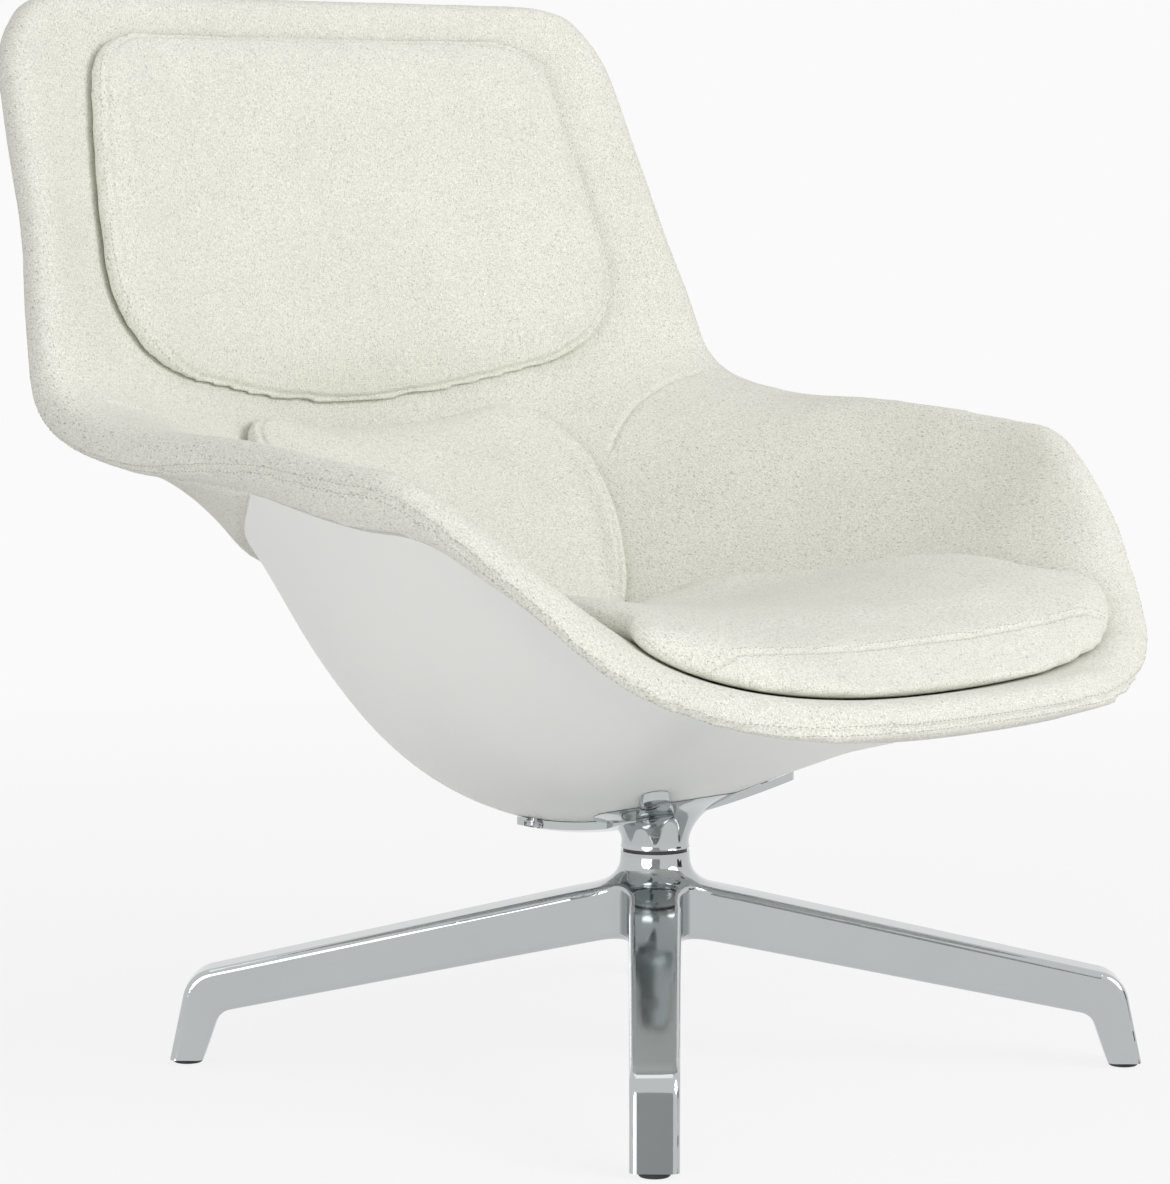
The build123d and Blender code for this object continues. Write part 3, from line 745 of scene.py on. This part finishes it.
def wool_material(context):
    """The chair's wool cloth, made once."""
    made = bpy.data.materials.get("heathered_wool")
    if made is None:
        finish = finish_of(context)
        made, shader = material_with(
            "heathered_wool", wool_group, "wool_cloth",
            {"Cloth": (*finish.cloth, 1), "Fleck": (*finish.fleck, 1), "Fleck Share": 0.60}, 0.45, 0.0006)
        shader.inputs["Sheen Weight"].default_value = 0.12
        shader.inputs["Sheen Roughness"].default_value = 0.5
        shader.inputs["Specular IOR Level"].default_value = 0.2
    return made


def thread_material(context):
    """Sewing thread."""
    made, shader = material_with(
        "sewing_thread", handling_group, "handling_marks",
        {"Colour": (*finish_of(context).thread, 1), "Mottle Scale": 300.0, "Grain Scale": 2400.0,
         "Mottle": 0.2, "Gloss Low": 0.6, "Gloss High": 0.8}, 0.3, 0.0002)
    shader.inputs["Sheen Weight"].default_value = 0.1
    return made


def plastic_material(name, colour, gloss, grain):
    made, shader = material_with(
        name, handling_group, "handling_marks",
        {"Colour": (*colour, 1), "Mottle Scale": 7.0, "Grain Scale": grain, "Mottle": 0.025,
         "Gloss Low": gloss, "Gloss High": gloss + 0.1}, 0.10, 0.0003)
    shader.inputs["Specular IOR Level"].default_value = 0.45
    return made


def metal_material(name, colour, gloss, grain, bump):
    made, shader = material_with(
        name, handling_group, "handling_marks",
        {"Colour": (*colour, 1), "Mottle Scale": 9.0, "Grain Scale": grain, "Mottle": 0.05,
         "Gloss Low": gloss, "Gloss High": gloss + 0.07}, bump, 0.0002)
    shader.inputs["Metallic"].default_value = 1.0
    return made


def give(material, *names):
    """Puts a material on CAD nodes."""
    for name in names:
        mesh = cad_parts[name].data
        mesh.materials.clear()
        mesh.materials.append(material)


def stitch_tree():
    """Geometry nodes that set stitches along lines; the lines carry the way the cloth faces."""
    tree = bpy.data.node_groups.new("stitch_rows", "GeometryNodeTree")
    tree.interface.new_socket("Lines", in_out="INPUT", socket_type="NodeSocketGeometry")
    for label, value in (("Pitch", 0.004), ("Length", 0.003), ("Thickness", 0.0007)):
        socket = tree.interface.new_socket(label, in_out="INPUT", socket_type="NodeSocketFloat")
        socket.default_value = value
    tree.interface.new_socket("Thread", in_out="INPUT", socket_type="NodeSocketMaterial")
    tree.interface.new_socket("Stitches", in_out="OUTPUT", socket_type="NodeSocketGeometry")
    given = node(tree, "NodeGroupInput", (-900, 0))
    out = node(tree, "NodeGroupOutput", (900, 0))
    lines = node(tree, "GeometryNodeMeshToCurve", (-700, 100))
    even = node(tree, "GeometryNodeResampleCurve", (-500, 100), mode="LENGTH")
    one = node(tree, "GeometryNodeMeshUVSphere", (-500, -250))
    one.inputs["Segments"].default_value = 6
    one.inputs["Rings"].default_value = 4
    one.inputs["Radius"].default_value = 0.5
    size = node(tree, "ShaderNodeCombineXYZ", (-500, -450))
    shaped = node(tree, "GeometryNodeTransform", (-250, -250))
    tangent = node(tree, "GeometryNodeInputTangent", (-500, 350))
    facing = node(tree, "GeometryNodeInputNamedAttribute", (-500, 500), data_type="FLOAT_VECTOR")
    facing.inputs["Name"].default_value = "facing"
    lengthwise = node(tree, "FunctionNodeAlignRotationToVector", (-250, 350), axis="X")
    upright = node(tree, "FunctionNodeAlignRotationToVector", (-50, 400), axis="Z", pivot_axis="X")
    uneven = node(tree, "FunctionNodeRandomValue", (-250, 50), data_type="FLOAT")
    uneven.inputs[2].default_value = 0.9
    uneven.inputs[3].default_value = 1.08
    uneven.inputs["Seed"].default_value = 11
    placed = node(tree, "GeometryNodeInstanceOnPoints", (150, 100))
    plain = node(tree, "GeometryNodeRealizeInstances", (400, 100))
    thread = node(tree, "GeometryNodeSetMaterial", (620, 100))
    link = tree.links.new
    link(given.outputs["Lines"], lines.inputs[0])
    link(lines.outputs[0], even.inputs["Curve"])
    link(given.outputs["Pitch"], even.inputs["Length"])
    link(given.outputs["Length"], size.inputs[0])
    link(given.outputs["Thickness"], size.inputs[1])
    link(given.outputs["Thickness"], size.inputs[2])
    link(one.outputs["Mesh"], shaped.inputs["Geometry"])
    link(size.outputs[0], shaped.inputs["Scale"])
    link(tangent.outputs[0], lengthwise.inputs["Vector"])
    link(lengthwise.outputs[0], upright.inputs["Rotation"])
    link(facing.outputs["Attribute"], upright.inputs["Vector"])
    link(even.outputs[0], placed.inputs["Points"])
    link(shaped.outputs[0], placed.inputs["Instance"])
    link(upright.outputs[0], placed.inputs["Rotation"])
    link(uneven.outputs[1], placed.inputs["Scale"])
    link(placed.outputs[0], plain.inputs[0])
    link(plain.outputs[0], thread.inputs["Geometry"])
    link(given.outputs["Thread"], thread.inputs["Material"])
    link(thread.outputs[0], out.inputs[0])
    return tree


def stitches_on(context, name, rows):
    """Stitch rows, each a line of points with the way the cloth faces, as one mesh."""
    sewing = sewing_of(context)
    points = []
    edges = []
    faces = []
    for places, ways, closed in rows:
        first = len(points)
        points.extend(places.tolist())
        faces.extend(ways.tolist())
        edges.extend((first + i, first + i + 1) for i in range(len(places) - 1))
        if closed:
            edges.append((first + len(places) - 1, first))
    mesh = bpy.data.meshes.new(name)
    mesh.from_pydata(points, edges, [])
    facing = mesh.attributes.new("facing", "FLOAT_VECTOR", "POINT")
    facing.data.foreach_set("vector", np.array(faces).ravel())
    obj = add_object(name, mesh)
    tree = bpy.data.node_groups.get("stitch_rows") or stitch_tree()
    thread = bpy.data.materials.get("sewing_thread") or thread_material(context)
    modifier = obj.modifiers.new("stitch rows", "NODES")
    modifier.node_group = tree
    sockets = {item.name: item.identifier for item in tree.interface.items_tree if item.in_out == "INPUT"}
    modifier[sockets["Pitch"]] = sewing.stitch_pitch
    modifier[sockets["Length"]] = sewing.stitch_length
    modifier[sockets["Thickness"]] = sewing.thread_thickness
    modifier[sockets["Thread"]] = thread
    plain_mesh(obj)
    smooth(obj.data)
    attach(obj, "seat")


# Pieces


class CHAIR_OT_shell_padding(bpy.types.Operator):
    """Makes the padded cloth cover of bucket and back in one, and the cloth on the rear"""

    bl_idname = "chair.shell_padding"
    bl_label = "Shell padding"

    def rim_seam(self):
        """Line of the seam low on the rim, from one side of the waist round the front lip to the other."""
        left = rim_line(RIM_SEAM_BACK, RIM_SEAM_FRONT, 1.0, RIM_SEAM_DOWN, 160)
        right = rim_line(RIM_SEAM_FRONT, RIM_SEAM_BACK, -1.0, RIM_SEAM_DOWN, 160)
        front = SHELL_CUTS[0][0]
        lip = []
        for share in steps(LIP_SEAM_SHARE, -LIP_SEAM_SHARE, 60):
            lip.append(in_chair(LIP_SEAM_ANGLE, wall(front, share, LIP_SEAM_OFFSET)))
        return soften_line(even_line(left + lip + right, LINE_STEP, False), False, rounds=24)

    def execute(self, context):
        sewing = sewing_of(context)
        wool = wool_material(context)
        padding = padded_copy(("bucket_upholstery", "back_upholstery"), "shell_padding",
                              sewing.mesh_size, rounds=8)
        seam = self.rim_seam()
        tree = tree_of(padding)
        laid = [laid_on(tree, seam, False)[0]]
        darts = []
        for side in (1.0, -1.0):
            dart = even_line([(side * x, y, z) for x, y, z in DART_POINTS], LINE_STEP, False)
            darts.append(laid_on(tree, soften_line(dart, False, rounds=30), False)[0])
        draw_seam(padding, laid, sewing.seam_depth * RIM_SEAM_DEPTH_SHARE,
                  sewing.seam_reach * RIM_SEAM_REACH_SHARE, cuts=1)
        draw_seam(padding, darts, sewing.seam_depth, sewing.seam_reach, cuts=2)
        tree = tree_of(padding)
        rows = []
        for side in (RIM_ROW_SHARE, -RIM_ROW_SHARE):
            places, facing = laid_on(tree, laid[0], False, side * sewing.row_distance)
            rows.append((places, facing, False))
        dress(padding, wool, "fabric", "bucket_upholstery", "back_upholstery")
        stitches_on(context, "rim_stitches", rows)
        cover = padded_copy(("back_cover",), "rear_cover", sewing.mesh_size * COVER_MESH_SHARE, rounds=8)
        push_out(cover.data, sewing.cover_press)
        dress(cover, wool, "fabric", "back_cover")
        return {"FINISHED"}


class CHAIR_OT_cushions(bpy.types.Operator):
    """Makes and fills the loose seat, lumbar and back cushions, with their seams"""

    bl_idname = "chair.cushions"
    bl_label = "Cushions"

    def front_seam(self, tree):
        """Line across the front of the seat cushion, dropped on its top."""
        line = []
        for x in steps(-SEAT_SEAM_HALF_WIDTH, SEAT_SEAM_HALF_WIDTH, 160):
            above = Vector((x, SEAT_SEAM_Y, ABOVE_SEAT))
            hit = tree.ray_cast(above, Vector((0, 0, -1)))[0]
            if hit is not None:
                line.append(hit)
        return even_line(line, LINE_STEP, False)

    def edge_seam(self, table):
        """Closed line round a cushion's top edge."""
        return soften_line(even_line(cushion_line(table), LINE_STEP, True), True, rounds=40)

    def cushion(self, context, node_name, name, rests):
        """A softened copy of a cushion's solid, filled where it doesn't rest on the padding."""
        sewing = sewing_of(context)
        obj = padded_copy((node_name,), name, sewing.mesh_size * CUSHION_MESH_SHARE, rounds=5)
        co = points_of(obj.data)
        held = np.array([rests.find_nearest(Vector(p))[3] < HELD_DISTANCE for p in co])
        fill(obj, held, sewing.swell, sewing.filling_steps)
        relax(obj.data, rounds=6)
        return obj

    def sew(self, context, obj, line, closed, sides):
        """Draws a seam into a cushion and finds the stitch rows on the given sides of it."""
        sewing = sewing_of(context)
        seam = laid_on(tree_of(obj), line, closed)[0]
        draw_seam(obj, [seam], sewing.seam_depth, sewing.seam_reach, cuts=2)
        tree = tree_of(obj)
        rows = []
        for side in sides:
            places, facing = laid_on(tree, seam, closed, side * sewing.row_distance)
            rows.append((places, facing, closed))
        return rows

    def finish(self, context, obj, node_name, rows):
        """Gives a cushion its cloth and its stitches."""
        dress(obj, wool_material(context), "fabric", node_name)
        if rows:
            stitches_on(context, obj.name + "_stitches", rows)

    def execute(self, context):
        rests = tree_of(bpy.data.objects["shell_padding"])
        seat = self.cushion(context, "seat_cushion", "seat_pad", rests)
        rows = self.sew(context, seat, self.front_seam(tree_of(seat)), False, (1.0, -1.0))
        self.finish(context, seat, "seat_cushion", rows)
        lumbar = self.cushion(context, "lumbar_cushion", "lumbar_pad", rests)
        rows = self.sew(context, lumbar, self.edge_seam(LUMBAR_CUTS), True, ())
        self.finish(context, lumbar, "lumbar_cushion", rows)
        back = self.cushion(context, "back_cushion", "back_pad", rests)
        rows = self.sew(context, back, self.edge_seam(BACK_CUTS), True, (1.0,))
        self.finish(context, back, "back_cushion", rows)
        return {"FINISHED"}


class CHAIR_OT_moulded_shell(bpy.types.Operator):
    """Finishes the moulded outer shell and the hidden frame shell"""

    bl_idname = "chair.moulded_shell"
    bl_label = "Moulded shell"

    def execute(self, context):
        shell = finish_of(context).shell
        give(plastic_material("moulded_shell", shell, gloss=0.34, grain=1400.0), "outer_shell")
        give(plastic_material("frame_moulding", FRAME_COLOUR, gloss=0.5, grain=900.0), "frame_shell")
        return {"FINISHED"}


class CHAIR_OT_metalwork(bpy.types.Operator):
    """Finishes the cast base, the column and the small metal parts"""

    bl_idname = "chair.metalwork"
    bl_label = "Metalwork"

    def execute(self, context):
        metal = finish_of(context).metal
        give(metal_material("polished_casting", metal, gloss=0.05, grain=500.0, bump=0.03),
             "base_casting", "seat_column")
        give(metal_material("turned_steel", STEEL_COLOUR, gloss=0.2, grain=1500.0, bump=0.1),
             "spindle", "retaining_washer", "circlip", "column_screws", "column_washers")
        give(metal_material("turned_brass", BRASS_COLOUR, gloss=0.22, grain=1500.0, bump=0.1),
             "shell_inserts")
        return {"FINISHED"}


class CHAIR_OT_plastic_fittings(bpy.types.Operator):
    """Finishes the glides, the bearing bushes and the hub cap"""

    bl_idname = "chair.plastic_fittings"
    bl_label = "Plastic fittings"

    def execute(self, context):
        glide = plastic_material("glide_plastic", finish_of(context).glide, gloss=0.45, grain=700.0)
        give(glide, "glide_front_left", "glide_front_right", "glide_rear_left", "glide_rear_right",
             "hub_cap")
        give(plastic_material("bearing_plastic", BEARING_COLOUR, gloss=0.4, grain=700.0),
             "upper_bush", "lower_bush", "thrust_washer")
        return {"FINISHED"}


class CHAIR_OT_stage(bpy.types.Operator):
    """Makes the studio floor, the background, the lamps and the camera"""

    bl_idname = "chair.stage"
    bl_label = "Stage"

    def floor(self, context):
        mesh = plate("studio_floor", FLOOR_REACH, FLOOR_REACH)
        floor = add_object("studio_floor", mesh)
        colour = (*finish_of(context).floor, 1)
        made = bpy.data.materials.new("studio_floor")
        made.use_nodes = True
        tree = made.node_tree
        shader = tree.nodes["Principled BSDF"]
        shader.inputs["Base Color"].default_value = (FLOOR_TONE, FLOOR_TONE, FLOOR_TONE, 1)
        shader.inputs["Roughness"].default_value = MATT
        shader.inputs["Specular IOR Level"].default_value = 0.0
        glow = node(tree, "ShaderNodeEmission", (0, -200))
        glow.inputs["Color"].default_value = colour
        path = node(tree, "ShaderNodeLightPath", (-400, 300))
        rays = path.outputs
        seen = math(tree, "MAXIMUM", rays["Is Camera Ray"], rays["Is Glossy Ray"], (-200, 300))
        spot = node(tree, "ShaderNodeTexCoord", (-800, 0))
        far = node(tree, "ShaderNodeVectorMath", (-600, 0), operation="LENGTH")
        tree.links.new(spot.outputs["Object"], far.inputs[0])
        plain = remap(tree, far.outputs["Value"], *SHADOW_FADE, SHADOW_PLAIN_SHARE, 1.0, (-400, 0))
        seen = math(tree, "MULTIPLY", seen, plain, (-50, 300))
        blend = node(tree, "ShaderNodeMixShader", (200, 100))
        tree.links.new(seen, blend.inputs[0])
        tree.links.new(shader.outputs[0], blend.inputs[1])
        tree.links.new(glow.outputs[0], blend.inputs[2])
        tree.links.new(blend.outputs[0], tree.nodes["Material Output"].inputs["Surface"])
        mesh.materials.append(made)

    def world(self, context):
        world = bpy.data.worlds.new("studio")
        world.use_nodes = True
        context.scene.world = world
        tree = world.node_tree
        shown = (*finish_of(context).floor, 1)
        back = tree.nodes["Background"]
        spot = node(tree, "ShaderNodeTexCoord", (-900, -200))
        split = node(tree, "ShaderNodeSeparateXYZ", (-700, -200))
        tree.links.new(spot.outputs["Generated"], split.inputs[0])
        up = remap(tree, split.outputs[2], *SKY_SPAN, SKY_LOW, SKY_HIGH, (-500, -200))
        grey = grey_of(tree, up, (-300, -200))
        path = node(tree, "ShaderNodeLightPath", (-500, 200))
        rays = path.outputs
        seen = math(tree, "MAXIMUM", rays["Is Camera Ray"], rays["Is Transmission Ray"], (-300, 200))
        seen = math(tree, "MAXIMUM", seen, rays["Is Glossy Ray"], (-200, 300))
        tree.links.new(mixed(tree, seen, grey, shown, (-100, 0)), back.inputs["Color"])

    def card(self, name, place, aim, width, height, tone):
        """A grey card that only the polished metal reflects."""
        mesh = plate(name, width / 2, height / 2)
        made = bpy.data.materials.new(name)
        made.use_nodes = True
        shader = made.node_tree.nodes["Principled BSDF"]
        shader.inputs["Base Color"].default_value = (tone, tone, tone, 1)
        shader.inputs["Roughness"].default_value = MATT
        mesh.materials.append(made)
        card = add_object(name, mesh)
        card.location = place
        card.rotation_mode = "QUATERNION"
        card.rotation_quaternion = (Vector(place) - Vector(aim)).to_track_quat("Z", "Y")
        card.visible_camera = False
        card.visible_diffuse = False
        card.visible_shadow = False

    def lamp(self, name, place, aim, size, power):
        light = bpy.data.lights.new(name, "AREA")
        light.shape = "DISK"
        light.size = size
        light.energy = power
        lamp = add_object(name, light)
        lamp.location = place
        lamp.rotation_mode = "QUATERNION"
        lamp.rotation_quaternion = (Vector(aim) - Vector(place)).to_track_quat("-Z", "Y")

    def camera(self, context):
        turn = radians(CAMERA_TURN)
        dip = radians(CAMERA_DIP)
        ahead = Vector((sin(turn) * cos(dip), cos(turn) * cos(dip), -sin(dip)))
        lens = bpy.data.cameras.new("camera")
        lens.sensor_width = CAMERA_SENSOR
        lens.lens = CAMERA_LENS
        lens.dof.use_dof = False
        camera = add_object("camera", lens)
        camera.location = CAMERA_PLACE
        camera.rotation_mode = "QUATERNION"
        camera.rotation_quaternion = ahead.to_track_quat("-Z", "Y")
        context.scene.camera = camera

    def execute(self, context):
        self.floor(context)
        self.world(context)
        for card in CARDS:
            self.card(*card)
        for lamp in LAMPS:
            self.lamp(*lamp)
        self.camera(context)
        context.scene.view_settings.view_transform = "Standard"
        return {"FINISHED"}


class CHAIR_PT_pieces(bpy.types.Panel):
    """The chair's pieces and finishes"""

    bl_idname = "CHAIR_PT_pieces"
    bl_label = "Swivel lounge chair"
    bl_space_type = "VIEW_3D"
    bl_region_type = "UI"
    bl_category = "Chair"

    def draw(self, context):
        for settings in (finish_of(context), sewing_of(context)):
            box = self.layout.box()
            for name in settings.__annotations__:
                box.prop(settings, name)
        for operator in PIECES:
            self.layout.operator(operator.bl_idname)


PIECES = (
    CHAIR_OT_stage,
    CHAIR_OT_shell_padding,
    CHAIR_OT_cushions,
    CHAIR_OT_moulded_shell,
    CHAIR_OT_metalwork,
    CHAIR_OT_plastic_fittings,
)
CLASSES = (ChairFinish, ChairSewing, *PIECES, CHAIR_PT_pieces)


def register():
    for one in CLASSES:
        bpy.utils.register_class(one)
    bpy.types.Scene.chair_finish = PointerProperty(type=ChairFinish)
    bpy.types.Scene.chair_sewing = PointerProperty(type=ChairSewing)


def unregister():
    del bpy.types.Scene.chair_sewing
    del bpy.types.Scene.chair_finish
    for one in reversed(CLASSES):
        bpy.utils.unregister_class(one)


def main():
    register()
    bpy.ops.chair.stage()
    bpy.ops.chair.shell_padding()
    bpy.ops.chair.cushions()
    bpy.ops.chair.moulded_shell()
    bpy.ops.chair.metalwork()
    bpy.ops.chair.plastic_fittings()
    bpy.context.view_layer.update()


if __name__ == "__main__":
    main()
